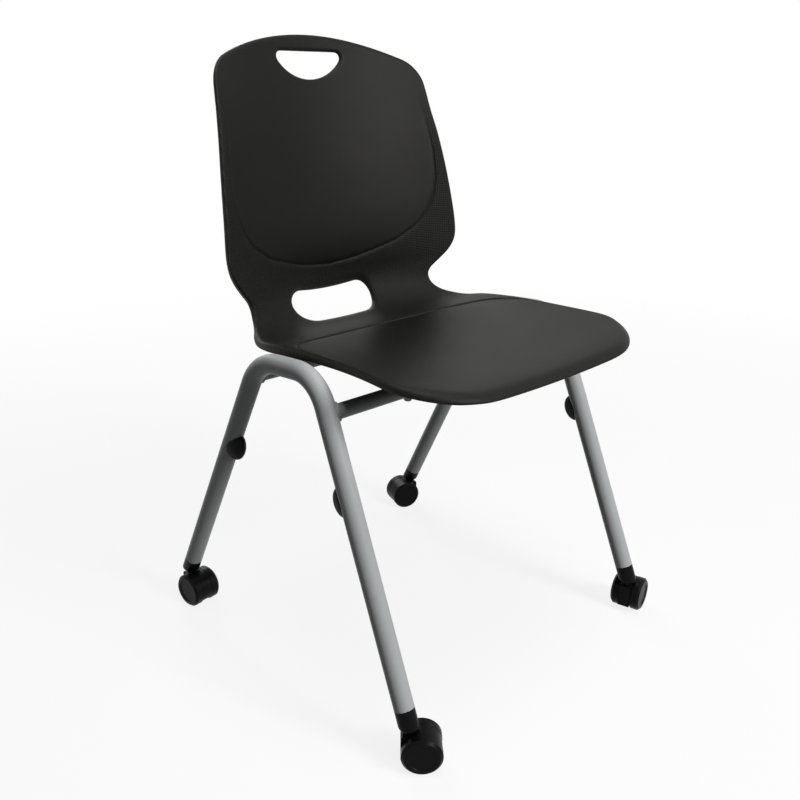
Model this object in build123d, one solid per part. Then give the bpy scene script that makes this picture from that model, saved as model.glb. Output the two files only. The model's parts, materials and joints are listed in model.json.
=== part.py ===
"""Stacking side chair: one moulded shell on two bent side tubes with four twin-wheel casters.

Millimetres, +Z up, floor at Z = 0. The sitter faces -Y, so the sitter's right hand is at -X.
"""
import math
import os

from build123d import *

# Frame tubes
tube_diameter = 25.0
tube_wall = 1.5
tube_end_height = 73.5
top_front_height = 441.5
top_rear_height = 433.0
top_front_y = -73.7
top_rear_y = 42.7
top_half_width = 222.5
front_foot_y = -230.2
front_foot_half_width = 229.9
rear_foot_y = 230.2
rear_foot_half_width = 234.4
front_bend_radius = 53.0
rear_bend_radius = 68.0

# Cross tubes and their welds
cross_diameter = 19.0
cross_wall = 1.5
front_cross_height = 399.0
rear_cross_height = 409.0
weld_width = 2.5

# Shell
shell_thickness = 4.5
rim_wall = 4.0
rim_step = 0.7
back_start_height = 545.0
crown_height = 817.0
crown_radius = 431.0
crown_corner_radius = 46.0
crown_side_low_half_width = 185.5
crown_side_low_drop = 82.0
crown_side_high_half_width = 175.5
crown_side_high_drop = 12.0
front_edge_y = -252.0
front_corner_radius = 95.0
front_half_width = 214.5

# Hand hole in the back
hand_hole_drop = 21.5
hand_hole_depth = 36.5
hand_hole_half_width = 56.5
hand_hole_side_depth = 10.0
hand_hole_corner = 6.5

# Lumbar slot in the bend between seat and back
slot_centre_y = 165.0
slot_centre_z = 447.0
slot_tilt = 45.0
slot_upper_reach = 28.0
slot_lower_reach = 25.0
slot_upper_half_width = 82.0
slot_lower_half_width = 67.0
slot_upper_corner = 22.0
slot_lower_corner = 30.0
opening_lip = 4.0

# Shell stations from the front lip to the widest line of the back:
# half width, edge y, edge z, centre y, centre z, rim depth
seat_stations = [
    (214.0, -254.5, 446.5, -250.0, 434.5, 6.5),
    (214.0, -250.5, 449.5, -246.0, 437.8, 8.5),
    (214.0, -241.5, 452.0, -237.5, 440.3, 10.5),
    (214.0, -225.0, 454.3, -222.0, 442.0, 11.0),
    (213.0, -198.0, 456.2, -196.0, 442.8, 10.5),
    (209.5, -150.0, 457.8, -150.0, 442.6, 9.0),
    (206.0, -95.0, 458.0, -95.0, 440.0, 9.0),
    (204.3, -40.0, 455.3, -40.0, 436.0, 9.0),
    (203.5, 10.0, 451.2, 12.0, 431.5, 9.0),
    (202.3, 48.0, 447.3, 55.0, 428.5, 9.0),
    (197.0, 76.0, 445.0, 95.0, 426.5, 9.0),
    (187.0, 96.0, 446.0, 125.0, 427.0, 9.0),
    (176.0, 113.0, 450.5, 146.0, 431.5, 9.0),
    (169.0, 126.0, 459.5, 163.0, 440.0, 9.0),
    (167.5, 132.0, 471.0, 175.0, 452.0, 9.0),
    (172.0, 131.5, 481.0, 181.0, 466.0, 9.0),
    (184.0, 125.5, 493.0, 181.0, 483.0, 9.0),
    (198.0, 118.0, 508.5, 177.0, 502.0, 9.0),
    (207.0, 114.5, 525.0, 174.5, 522.0, 9.0),
    (209.5, 115.5, back_start_height, 174.0, back_start_height, 9.0),
]

# Stations from there to above the crown, heights as shares of the rise to the crown:
# half width, edge y, edge share, centre y, centre share, rim depth
back_stations = [
    (206.5, 120.5, 0.136, 176.5, 0.129, 8.8),
    (200.5, 131.0, 0.335, 183.5, 0.320, 8.2),
    (193.5, 142.5, 0.511, 192.0, 0.489, 7.5),
    (188.0, 152.5, 0.629, 198.0, 0.599, 7.0),
    (184.0, 161.0, 0.735, 203.5, 0.706, 6.5),
    (181.0, 169.0, 0.835, 209.0, 0.813, 6.2),
    (178.0, 177.0, 0.938, 213.5, 0.923, 6.0),
    (176.0, 183.0, 1.040, 217.0, 1.033, 6.0),
]
shell_section_count = 36

# Seat bosses, screws and saddle washers
boss_diameter = 22.0
boss_half_spacing = 95.0
screw_diameter = 5.0
screw_head_diameter = 10.0
screw_head_height = 3.5
screw_reach = 7.0
screw_hole_gap = 0.3
washer_diameter = 14.0
washer_thickness = 2.0

# Stacking bumpers
bumper_height = 304.0
bumper_radius = 17.5
bumper_centre = 10.0
bumper_half_width = 13.0
bumper_skirt = 5.0
bumper_pin_diameter = 6.0
bumper_pin_reach = 4.0

# Leg ferrules
ferrule_base_height = 50.8
ferrule_plug_length = 25.0
ferrule_edge_radius = 4.0

# Casters
caster_overlap = 23.0
wheel_diameter = 50.0
wheel_width = 13.0
wheel_bevel = 3.2
wheel_ring_radius = 17.5
wheel_ring_depth = 1.2
wheel_hub_cover = 4.0
hood_width = 17.0
hood_inset = 0.4
hood_base_height = 11.0
hood_nose_height = 45.0
hood_nose_reach = 10.0
hood_nose_radius = 3.0
neck_diameter = 13.0
trail = 15.0
axle_diameter = 6.0
stem_diameter = 8.8
stem_grip = 13.0
stem_foot_height = 20.0
grip_ring_width = 3.0
grip_ring_depth = 1.0
swivel_angles = {
    "front_right": 317.2,
    "rear_right": 276.0,
    "front_left": 13.1,
    "rear_left": 160.2,
}

# Clearances
press_gap = 0.02
running_gap = 0.05
socket_gap = 0.1
seat_gap = 0.1
wheel_gap = 0.4
swivel_gap = 0.4

tube_radius = tube_diameter / 2
cross_radius = cross_diameter / 2
wheel_radius = wheel_diameter / 2
hood_half = hood_width / 2
axle_radius = axle_diameter / 2
stem_radius = stem_diameter / 2
screw_radius = screw_diameter / 2

os.makedirs("parts", exist_ok=True)


def save(name, *solids):
    """Write one node; several solids stay separate inside it."""
    shape = solids[0] if len(solids) == 1 else Compound(children=list(solids))
    shape.label = name
    export_step(shape, f"parts/{name}.step")


def point_at(start, end, height):
    """Point of the line from start to end at a given height."""
    share = (height - start.Z) / (end.Z - start.Z)
    return start + (end - start) * share


def leg_ends(side, place):
    """Foot and upper corner of one leg; side is -1 for right and +1 for left."""
    if place == "front":
        foot = Vector(side * front_foot_half_width, front_foot_y, tube_end_height)
        corner = Vector(side * top_half_width, top_front_y, top_front_height)
    else:
        foot = Vector(side * rear_foot_half_width, rear_foot_y, tube_end_height)
        corner = Vector(side * top_half_width, top_rear_y, top_rear_height)
    return foot, corner


def bend(before, corner, after, radius):
    """Start, middle and end of the arc that rounds a corner."""
    back = (before - corner).normalized()
    ahead = (after - corner).normalized()
    half = math.acos(back.dot(ahead)) / 2
    reach = radius / math.tan(half)
    middle = (back + ahead).normalized() * (radius / math.sin(half) - radius)
    return corner + back * reach, corner + middle, corner + ahead * reach


def side_path(side):
    """Centre line of one bent side tube, from the front foot to the rear foot."""
    front_foot, front_corner = leg_ends(side, "front")
    rear_foot, rear_corner = leg_ends(side, "rear")
    front_arc = bend(front_foot, front_corner, rear_corner, front_bend_radius)
    rear_arc = bend(front_corner, rear_corner, rear_foot, rear_bend_radius)
    return Wire([
        Edge.make_line(front_foot, front_arc[0]),
        Edge.make_three_point_arc(*front_arc),
        Edge.make_line(front_arc[2], rear_arc[0]),
        Edge.make_three_point_arc(*rear_arc),
        Edge.make_line(rear_arc[2], rear_foot),
    ])


def swept_rod(side, radius):
    """Round rod along the centre line of a side tube."""
    path = side_path(side)
    foot, corner = leg_ends(side, "front")
    start = Plane(origin=foot, z_dir=corner - foot)
    return sweep(start * Circle(radius), path=path)


def rod(start, end, radius):
    """Round rod between two points."""
    along = end - start
    plane = Plane(origin=start, z_dir=along)
    return extrude(plane * Circle(radius), amount=along.length)


def cross_centre(place):
    """Y and Z of a cross tube, on the axis of the legs it joins."""
    height = front_cross_height if place == "front" else rear_cross_height
    foot, corner = leg_ends(1, place)
    return point_at(foot, corner, height)


def bumper_frame(side, place):
    """Leg axis point of a bumper and the direction in which it stands out."""
    foot, corner = leg_ends(side, place)
    origin = point_at(foot, corner, bumper_height)
    along = (corner - foot).normalized()
    inward = Vector(0, 1, 0) if place == "front" else Vector(0, -1, 0)
    outward = (inward - along * inward.dot(along)).normalized()
    return origin, outward


def stem_point(side, place):
    """Point at floor level below a caster stem."""
    foot, corner = leg_ends(side, place)
    below = foot + (foot - corner).normalized() * caster_overlap
    return Vector(below.X, below.Y, 0)


def back_height(share):
    """Height of a share of the rise from the widest line of the back to the crown."""
    return back_start_height + (crown_height - back_start_height) * share


shell_stations = seat_stations + [
    (half, edge_y, back_height(edge_share), centre_y, back_height(centre_share), depth)
    for half, edge_y, edge_share, centre_y, centre_share, depth in back_stations
]


def station_steps():
    """Distance along the shell at which each station lies."""
    steps = [0.0]
    for near, far in zip(shell_stations, shell_stations[1:]):
        at_edge = math.hypot(far[1] - near[1], far[2] - near[2])
        at_centre = math.hypot(far[3] - near[3], far[4] - near[4])
        steps.append(steps[-1] + (at_edge + at_centre) / 2)
    return steps


def station_at(step, steps):
    """Station at a distance along the shell, on a smooth curve through the given ones."""
    last = len(steps) - 1
    index = 0
    while index < last - 1 and steps[index + 1] < step:
        index += 1
    span = steps[index + 1] - steps[index]
    share = (step - steps[index]) / span
    slopes = []
    for here in (index, index + 1):
        before = max(here - 1, 0)
        after = min(here + 1, last)
        gap = steps[after] - steps[before]
        slopes.append([(b - a) / gap for a, b in zip(shell_stations[before], shell_stations[after])])
    start_weight = 1 - share * share * (3 - 2 * share)
    lead_in = span * share * (1 - share) ** 2
    lead_out = span * share * share * (share - 1)
    return [
        a * start_weight + b * (1 - start_weight) + lead_in * m + lead_out * n
        for a, b, m, n in zip(shell_stations[index], shell_stations[index + 1], *slopes)
    ]


def even_stations():
    """Stations at even distances from the front lip to above the crown."""
    steps = station_steps()
    count = shell_section_count
    return [station_at(steps[-1] * k / (count - 1), steps) for k in range(count)]


def station_frame(station):
    """Centre point of a station and the rise from there to its edges."""
    _, edge_y, edge_z, centre_y, centre_z, _ = station
    centre = Vector(0, centre_y, centre_z)
    rise = Vector(0, edge_y - centre_y, edge_z - centre_z)
    return centre, rise


def across_points(station, depth, inset):
    """Left, middle and right point across the shell at a depth below its upper surface."""
    centre, rise = station_frame(station)
    half = station[0] - inset
    middle = centre - rise.normalized() * depth
    edge = middle + rise * (half / station[0]) ** 2
    return edge - Vector(half, 0, 0), middle, edge + Vector(half, 0, 0)


def slab_section(station, upper, lower, inset):
    """Closed outline across the shell between two depths."""
    top = across_points(station, upper, inset)
    bottom = across_points(station, lower, inset)
    return Wire([
        Edge.make_three_point_arc(*top),
        Edge.make_line(top[2], bottom[2]),
        Edge.make_three_point_arc(*reversed(bottom)),
        Edge.make_line(bottom[0], top[0]),
    ])


def channel_section(station):
    """Closed outline across the shell with a turned rim at both ends."""
    top = across_points(station, 0, 0)
    under = across_points(station, shell_thickness, rim_wall)
    rim_depth = station[5]
    rim_out = across_points(station, rim_depth, 0)
    rim_in = across_points(station, rim_depth, rim_wall)
    return Wire([
        Edge.make_three_point_arc(*top),
        Edge.make_line(top[2], rim_out[2]),
        Edge.make_line(rim_out[2], rim_in[2]),
        Edge.make_line(rim_in[2], under[2]),
        Edge.make_three_point_arc(*reversed(under)),
        Edge.make_line(under[0], rim_in[0]),
        Edge.make_line(rim_in[0], rim_out[0]),
        Edge.make_line(rim_out[0], top[0]),
    ])


def seat_point(x, y):
    """Point of the seat's upper surface over a place in plan."""
    for near, far in zip(shell_stations, shell_stations[1:]):
        if near[3] <= y <= far[3]:
            share = (y - near[3]) / (far[3] - near[3])
            station = [a + (b - a) * share for a, b in zip(near, far)]
            centre, rise = station_frame(station)
            return Vector(x, 0, 0) + centre + rise * (x / station[0]) ** 2
    raise ValueError("place is off the seat")


def crown_keep(inset):
    """Block of everything below the crown of the back, drawn in by inset."""
    low_x = crown_side_low_half_width
    low_z = crown_height - crown_side_low_drop
    high_x = crown_side_high_half_width
    high_z = crown_height - crown_side_high_drop
    radius = crown_radius - inset
    centre_z = crown_height - crown_radius
    corner_z = high_z
    for _ in range(8):
        corner_x = low_x - inset + (high_x - low_x) * (corner_z - low_z) / (high_z - low_z)
        corner_z = centre_z + math.sqrt(radius**2 - corner_x**2)
    far = 2 * front_half_width
    outline = Polyline(
        (-corner_x, corner_z), (-low_x + inset, low_z), (-far, low_z), (-far, 0),
        (far, 0), (far, low_z), (low_x - inset, low_z), (corner_x, corner_z),
    )
    arc = ThreePointArc((corner_x, corner_z), (0, centre_z + radius), (-corner_x, corner_z))
    region = make_face(outline.edges() + arc.edges())
    corners = region.vertices().sort_by(Axis.Y)[-2:]
    region = fillet(corners, crown_corner_radius - inset)
    return extrude(Plane.XZ * region, amount=crown_height, both=True)


def front_keep(inset):
    """Block of everything inside the plan outline of the seat, drawn in by inset."""
    half = front_half_width - inset
    near = front_edge_y + inset
    region = make_face(Polyline((-half, near), (half, near), (half, -3 * near), (-half, -3 * near), close=True))
    corners = region.vertices().sort_by(Axis.Y)[:2]
    region = fillet(corners, front_corner_radius - inset)
    return extrude(region, amount=2 * crown_height)


def hand_hole(grow):
    """Cutter for the hand hole, its outline grown by a margin."""
    side = hand_hole_half_width
    top = crown_height - hand_hole_drop
    low = top - hand_hole_side_depth
    outline = Polyline((side, low), (side, top), (-side, top), (-side, low))
    arc = ThreePointArc((-side, low), (0, top - hand_hole_depth), (side, low))
    region = make_face(outline.edges() + arc.edges())
    region = fillet(region.vertices(), hand_hole_corner)
    if grow:
        region = offset(region, amount=grow)
    return extrude(Plane.XZ * region, amount=crown_height / 2, both=True)


def lumbar_slot(grow):
    """Cutter for the lumbar slot, square to the bend of the shell."""
    upper = slot_upper_half_width
    lower = slot_lower_half_width
    tilt = math.radians(slot_tilt)
    frame = Plane(
        origin=(0, slot_centre_y, slot_centre_z),
        x_dir=(1, 0, 0),
        z_dir=(0, math.sin(tilt), -math.cos(tilt)),
    )
    region = make_face(Polyline(
        (-upper, -slot_upper_reach), (upper, -slot_upper_reach),
        (lower, slot_lower_reach), (-lower, slot_lower_reach), close=True,
    ))
    corners = region.vertices().sort_by(Axis.Y)
    region = fillet(corners[:2], slot_upper_corner)
    corners = region.vertices().sort_by(Axis.Y)
    region = fillet(corners[-2:], slot_lower_corner)
    if grow:
        region = offset(region, amount=grow)
    return extrude(frame * region, amount=slot_upper_reach, both=True)


def boss_places():
    """Plan places of the four seat bosses with the height of their cross tube."""
    places = []
    for place in ("front", "rear"):
        centre = cross_centre(place)
        for side in (-1, 1):
            places.append((side * boss_half_spacing, centre.Y, centre.Z))
    return places


def build_shell():
    """One moulded shell with a turned rim, two lipped openings and four bosses."""
    stations = even_stations()
    shell = Solid.make_loft([channel_section(station) for station in stations])
    slab = Solid.make_loft([
        slab_section(station, shell_thickness / 2, station[5] - rim_step, rim_wall / 2)
        for station in stations
    ])
    for keep in (front_keep, crown_keep):
        shell = shell + (slab & (keep(-rim_wall) - keep(rim_wall)))
    for cutter in (hand_hole, lumbar_slot):
        shell = shell + (slab & cutter(opening_lip)) - cutter(0)
    shell = shell & front_keep(0)
    shell = shell & crown_keep(0)
    for x, y, z in boss_places():
        top = seat_point(x, y).Z - shell_thickness / 2
        boss = rod(Vector(x, y, z), Vector(x, y, top), boss_diameter / 2)
        seat = rod(Vector(x - boss_diameter, y, z), Vector(x + boss_diameter, y, z), cross_radius + seat_gap)
        bottom = z + cross_radius
        pilot_top = bottom + screw_reach + press_gap
        pilot = rod(Vector(x, y, z), Vector(x, y, pilot_top), screw_radius + press_gap)
        shell = shell + (boss - seat) - pilot
    return shell


def build_cross_tube(place, side_rods):
    """Hollow cross tube, coped onto both legs and drilled for the seat screws."""
    centre = cross_centre(place)
    left = Vector(centre.X, centre.Y, centre.Z)
    right = Vector(-centre.X, centre.Y, centre.Z)
    tube = rod(right, left, cross_radius) - rod(right, left, cross_radius - cross_wall)
    for side_rod in side_rods:
        tube = tube - side_rod
    for x, y, z in boss_places():
        if y == centre.Y:
            reach = Vector(0, 0, cross_diameter)
            tube = tube - rod(Vector(x, y, z) - reach, Vector(x, y, z) + reach, screw_radius + screw_hole_gap)
    return tube


def build_weld(place, side, side_rod, side_coat):
    """Bead in the corner between a cross tube and a leg."""
    centre = cross_centre(place)
    leg = Vector(side * centre.X, centre.Y, centre.Z)
    inside = Vector(side * (centre.X - tube_diameter), centre.Y, centre.Z)
    bead = rod(leg, inside, cross_radius + weld_width) & side_coat
    return bead - rod(leg, inside, cross_radius) - side_rod


def build_side_tube(side, side_rod):
    """Hollow bent tube of one side, drilled for its two bumper pins."""
    tube = side_rod - swept_rod(side, tube_radius - tube_wall)
    for place in ("front", "rear"):
        origin, outward = bumper_frame(side, place)
        tube = tube - rod(origin, origin + outward * tube_diameter, bumper_pin_diameter / 2 + socket_gap)
    return tube


def build_bumper(side, place):
    """Domed stacking bumper that hugs a leg and holds on by a pin."""
    origin, outward = bumper_frame(side, place)
    foot, corner = leg_ends(side, place)
    along = (corner - foot).normalized()
    dome = Pos(origin + outward * bumper_centre) * Sphere(bumper_radius)
    dome = dome - rod(origin - outward * bumper_radius, origin + outward * bumper_skirt, 2 * bumper_radius)
    reach = along * 2 * bumper_radius
    waist = origin + outward * bumper_half_width
    dome = dome & rod(waist - reach, waist + reach, bumper_half_width)
    dome = dome - rod(origin - reach, origin + reach, tube_radius)
    pin_start = origin + outward * (tube_radius - tube_wall - bumper_pin_reach)
    pin = rod(pin_start, origin + outward * bumper_radius, bumper_pin_diameter / 2)
    return dome + pin


def build_ferrule(side, place):
    """Plug in the leg's end with a collar cut level and bored upright for the stem."""
    foot, corner = leg_ends(side, place)
    down = (foot - corner).normalized()
    plug = rod(foot - down * ferrule_plug_length, foot, tube_radius - tube_wall - press_gap)
    collar = rod(foot, foot + down * 2 * tube_end_height, tube_radius)
    level = Pos(foot.X, foot.Y, ferrule_base_height - 2 * tube_end_height) * Box(
        8 * tube_diameter, 8 * tube_diameter, 4 * tube_end_height)
    collar = collar - level
    collar = fillet(collar.edges().group_by(Axis.Z)[0], ferrule_edge_radius)
    stem = stem_point(side, place)
    base = Vector(stem.X, stem.Y, 0)
    socket_top = ferrule_base_height + stem_grip + socket_gap
    socket = rod(base, base + Vector(0, 0, socket_top), stem_radius + socket_gap)
    return plug + collar - socket


def ring_band():
    """Lower and upper height of the groove for the grip ring."""
    middle = ferrule_base_height + stem_grip / 2
    return middle - grip_ring_width / 2, middle + grip_ring_width / 2


def upright(low, high, radius):
    """Upright rod on the stem's own axis."""
    return rod(Vector(0, 0, low), Vector(0, 0, high), radius)


def build_stem():
    """Caster stem with a groove for its grip ring."""
    low, high = ring_band()
    stem = upright(stem_foot_height, ferrule_base_height + stem_grip, stem_radius)
    groove = upright(low, high, stem_diameter) - upright(low, high, stem_radius - grip_ring_depth)
    return stem - groove


def build_grip_ring():
    """Ring in the stem's groove that holds the stem in its socket."""
    low, high = ring_band()
    low = low + running_gap
    high = high - running_gap
    ring = upright(low, high, stem_radius + socket_gap - press_gap)
    return ring - upright(low, high, stem_radius - grip_ring_depth + running_gap)


def across(low, high, radius):
    """Rod on the wheel axis, which runs along Y before the caster is turned."""
    return rod(Vector(trail, low, wheel_radius), Vector(trail, high, wheel_radius), radius)


def build_hood():
    """Hood between the wheels with a nose and neck for the stem."""
    middle = Pos(trail, wheel_radius) * Circle(wheel_radius - hood_inset)
    nose_low = hood_base_height - wheel_radius
    nose = make_face(Polyline(
        (-hood_nose_reach, nose_low), (trail, nose_low),
        (trail, hood_nose_height), (-hood_nose_reach, hood_nose_height), close=True,
    ))
    front_top = nose.vertices().sort_by(Axis.X)[:2].sort_by(Axis.Y)[-1]
    nose = fillet(front_top, hood_nose_radius)
    span = trail + wheel_diameter
    window = make_face(Polyline(
        (-span, hood_base_height), (span, hood_base_height), (span, 2 * wheel_diameter),
        (-span, 2 * wheel_diameter), close=True,
    ))
    hood = extrude(Plane.XZ * ((middle + nose) & window), amount=hood_half, both=True)
    hood = hood + upright(hood_nose_height / 2, ferrule_base_height - swivel_gap, neck_diameter / 2)
    hood = hood - upright(stem_foot_height - swivel_gap, 2 * ferrule_base_height, stem_radius + running_gap)
    return hood - across(-hood_width, hood_width, axle_radius + press_gap)


def axle_half():
    """Half length of the axle, inside both wheels."""
    return hood_half + wheel_gap + wheel_width - wheel_hub_cover - wheel_gap


def build_wheel(hand):
    """One wheel of a pair with a bevelled rim and a sunk face; hand is its side along Y."""
    inner = hood_half + wheel_gap
    outer = inner + wheel_width
    bore = axle_radius + running_gap
    edge = wheel_gap
    profile = make_face(Polyline(
        (bore, inner), (wheel_radius - edge, inner), (wheel_radius, inner + edge),
        (wheel_radius, outer - wheel_bevel), (wheel_radius - wheel_bevel, outer),
        (wheel_ring_radius, outer), (wheel_ring_radius - wheel_ring_depth, outer - wheel_ring_depth),
        (0, outer - wheel_ring_depth), (0, outer - wheel_hub_cover), (bore, outer - wheel_hub_cover),
        close=True,
    ))
    wheel = revolve(profile, axis=Axis.Y)
    if hand < 0:
        wheel = mirror(wheel, about=Plane.XZ)
    return Pos(trail, 0, wheel_radius) * wheel


def build_frame():
    """Side tubes, cross tubes, welds, seat screws and washers."""
    rods = {side: swept_rod(side, tube_radius) for side in (-1, 1)}
    for side, name in ((-1, "right"), (1, "left")):
        save(f"{name}_side_tube", build_side_tube(side, rods[side]))
    welds = []
    for place in ("front", "rear"):
        save(f"{place}_cross_tube", build_cross_tube(place, rods.values()))
        for side in (-1, 1):
            coat = swept_rod(side, tube_radius + weld_width)
            welds.append(build_weld(place, side, rods[side], coat))
    save("weld_beads", *welds)
    screws = []
    washers = []
    for x, y, z in boss_places():
        under = z - cross_radius - washer_thickness
        tip = z + cross_radius + screw_reach
        screw = rod(Vector(x, y, under), Vector(x, y, tip), screw_radius)
        head = rod(Vector(x, y, under - screw_head_height), Vector(x, y, under), screw_head_diameter / 2)
        head = fillet(head.edges().sort_by(Axis.Z)[0], screw_head_height / 2)
        screws.append(screw + head)
        washer = rod(Vector(x, y, under), Vector(x, y, z), washer_diameter / 2)
        washer = washer - rod(Vector(x - cross_diameter, y, z), Vector(x + cross_diameter, y, z), cross_radius)
        washers.append(washer - rod(Vector(x, y, under), Vector(x, y, z), screw_radius + screw_hole_gap))
    save("seat_screws", *screws)
    save("saddle_washers", *washers)


def build_feet():
    """Bumpers, ferrules and casters at the four legs."""
    for place in ("front", "rear"):
        for side, name in ((-1, "right"), (1, "left")):
            leg = f"{place}_{name}"
            save(f"{leg}_bumper", build_bumper(side, place))
            save(f"{leg}_ferrule", build_ferrule(side, place))
            turned = Pos(stem_point(side, place)) * Rot(0, 0, swivel_angles[leg])
            save(f"{leg}_caster_stem", turned * build_stem())
            save(f"{leg}_caster_grip_ring", turned * build_grip_ring())
            save(f"{leg}_caster_hood", turned * build_hood())
            save(f"{leg}_caster_axle", turned * across(-axle_half(), axle_half(), axle_radius))
            save(f"{leg}_caster_wheel_a", turned * build_wheel(-1))
            save(f"{leg}_caster_wheel_b", turned * build_wheel(1))


save("seat_shell", build_shell())
build_frame()
build_feet()
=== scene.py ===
"""Looks of a stacking side chair on casters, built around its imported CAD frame.

Metres, +Z up, floor at Z = 0. The sitter faces -Y, so the sitter's right hand is at -X.
"""
from __future__ import annotations

import json
import logging
import math
from dataclasses import dataclass, field
from enum import Enum

import bpy
import numpy as np
from mathutils import Matrix, Vector
from mathutils.geometry import delaunay_2d_cdt
from mathutils.kdtree import KDTree


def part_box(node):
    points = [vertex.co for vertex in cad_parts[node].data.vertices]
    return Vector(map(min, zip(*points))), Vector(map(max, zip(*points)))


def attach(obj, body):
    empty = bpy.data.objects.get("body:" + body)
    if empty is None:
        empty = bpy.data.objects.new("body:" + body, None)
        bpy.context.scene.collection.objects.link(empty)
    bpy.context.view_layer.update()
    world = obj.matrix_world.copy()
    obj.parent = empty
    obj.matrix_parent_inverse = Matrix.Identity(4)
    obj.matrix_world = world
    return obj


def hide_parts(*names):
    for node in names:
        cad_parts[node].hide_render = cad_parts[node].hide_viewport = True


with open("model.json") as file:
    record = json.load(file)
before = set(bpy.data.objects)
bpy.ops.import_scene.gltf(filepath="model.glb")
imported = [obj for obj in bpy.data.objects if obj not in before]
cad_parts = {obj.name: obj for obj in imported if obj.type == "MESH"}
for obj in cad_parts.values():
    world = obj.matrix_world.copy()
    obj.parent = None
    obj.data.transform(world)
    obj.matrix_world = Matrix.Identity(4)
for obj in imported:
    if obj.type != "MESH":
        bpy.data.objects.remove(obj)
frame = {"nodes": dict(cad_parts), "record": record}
log = logging.getLogger("chair")

WHITE = (1.0, 1.0, 1.0, 1.0)
SEEN_RAYS = ("Is Camera Ray", "Is Glossy Ray", "Is Transmission Ray")
LEAST_ARC_STEPS = 3
LEAST_LINE_POINTS = 8
LEAST_SQUARE = 1e-18


class Body(Enum):
    """Moving bodies that carry new pieces."""

    FRAME = "frame"


class Slot(Enum):
    """Material slots of the record."""

    SHELL = "shell_plastic"
    COAT = "frame_coat"
    ZINC = "zinc_steel"
    RUBBER = "bumper_rubber"
    WHEEL = "wheel_nylon"
    NYLON = "black_nylon"


class Side(Enum):
    """Sides of the chair as the sitter has them, each with the sign of its X."""

    RIGHT = -1.0
    LEFT = 1.0


class Leg(Enum):
    """Legs of the +X side: foot and top of the tube's centre line."""

    FRONT = ((0.2299, -0.2302, 0.0735), (0.2225, -0.0737, 0.4415))
    REAR = ((0.2344, 0.2302, 0.0735), (0.2225, 0.0427, 0.4330))


class Sock:
    """A shader socket that takes part in Python arithmetic."""

    def __init__(self, graph: Nodes, socket: bpy.types.NodeSocket) -> None:
        """Keep the socket and the graph that its maths is added to."""
        self.graph = graph
        self.socket = socket

    def maths(self, operation: str, *values: Sock | float) -> Sock:
        """Add one Math node.

        Args:
            operation: name of the Math node's operation.
            values: its inputs, in order.

        Returns:
            The node's value.
        """
        node = self.graph.node("ShaderNodeMath", {"operation": operation}, dict(enumerate(values)))
        return Sock(self.graph, node.outputs[0])

    def __add__(self, other: Sock | float) -> Sock:
        """Sum."""
        return self.maths("ADD", self, other)

    def __radd__(self, other: float) -> Sock:
        """Sum with a number on the left."""
        return self.maths("ADD", other, self)

    def __sub__(self, other: Sock | float) -> Sock:
        """Difference."""
        return self.maths("SUBTRACT", self, other)

    def __rsub__(self, other: float) -> Sock:
        """Difference from a number on the left."""
        return self.maths("SUBTRACT", other, self)

    def __mul__(self, other: Sock | float) -> Sock:
        """Product."""
        return self.maths("MULTIPLY", self, other)

    def __rmul__(self, other: float) -> Sock:
        """Product with a number on the left."""
        return self.maths("MULTIPLY", other, self)

    def sine(self) -> Sock:
        """Sine of the value."""
        return self.maths("SINE", self)

    def clipped(self) -> Sock:
        """The value held between 0 and 1."""
        return self.maths("MINIMUM", self.maths("MAXIMUM", self, 0.0), 1.0)


class Nodes:
    """Node tree that is filled through one method."""

    def __init__(self, tree: bpy.types.NodeTree) -> None:
        """Start from an empty tree."""
        self.tree = tree
        self.tree.nodes.clear()

    def node(
        self,
        kind: str,
        settings: dict[str, object] | None = None,
        sockets: dict[str | int, object] | None = None,
    ) -> bpy.types.Node:
        """Add a node.

        Args:
            kind: the node's type.
            settings: its properties, set before its sockets.
            sockets: values or links of its inputs, by name or number.

        Returns:
            The new node.
        """
        made = self.tree.nodes.new(kind)
        for key, value in (settings or {}).items():
            setattr(made, key, value)
        self.feed(made, sockets or {})
        return made

    def feed(self, made: bpy.types.Node, sockets: dict[str | int, object]) -> None:
        """Set or link inputs of a node.

        Args:
            made: the node.
            sockets: values or links of its inputs, by name or number.
        """
        for key, value in sockets.items():
            if isinstance(value, Sock):
                self.tree.links.new(value.socket, made.inputs[key])
            else:
                made.inputs[key].default_value = value

    def light_path(self, *kinds: str) -> Sock:
        """Share of the rays that are of any of the given kinds, 0 or 1.

        Args:
            kinds: names of the Light Path node's outputs.

        Returns:
            The share, 0 or 1.
        """
        paths = self.node("ShaderNodeLightPath")
        total = Sock(self, paths.outputs[kinds[0]])
        for kind in kinds[1:]:
            total = total + Sock(self, paths.outputs[kind])
        return total.clipped()


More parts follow.
